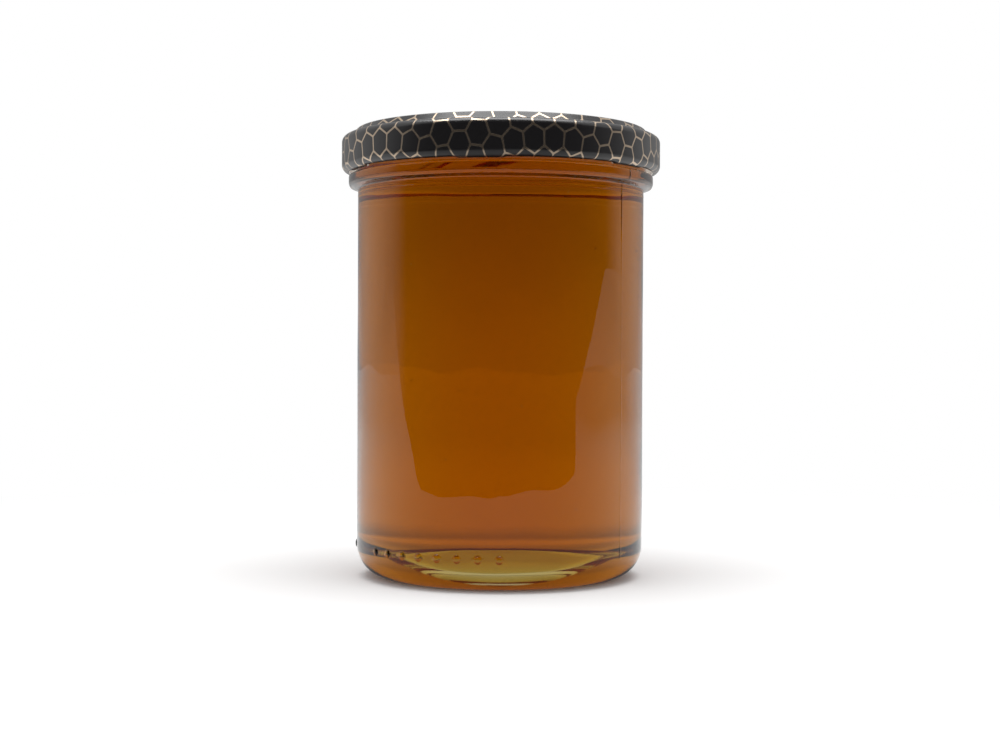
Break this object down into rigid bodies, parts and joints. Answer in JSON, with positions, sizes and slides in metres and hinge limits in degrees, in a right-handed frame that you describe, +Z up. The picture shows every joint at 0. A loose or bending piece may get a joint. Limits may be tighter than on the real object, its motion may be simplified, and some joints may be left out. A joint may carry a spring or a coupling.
{
  "type": "honey jar",
  "caption": "Straight-sided clear glass jar filled with amber honey, shut by a dark metal twist-off lid with a fine metallic honeycomb line pattern.",
  "frame": {"origin": "centre of the bearing ring on the surface the jar stands on, on the jar's axis", "axes": "+Z up along the jar's axis, -Y towards the pictured front, +X to its right"},
  "size_m": [0.0856, 0.0856, 0.1195],
  "materials": {
    "clear_glass": "clear flint container glass, smooth and glossy",
    "honey": "clear liquid honey, deep amber, see-through at the edges",
    "lid_lacquer": "satin charcoal lacquer on tinplate with fine pale gold honeycomb lines"
  },
  "bodies": {
    "root": {"glass_jar": "clear_glass", "honey": "honey", "lid": "lid_lacquer"}
  },
  "joints": []
}
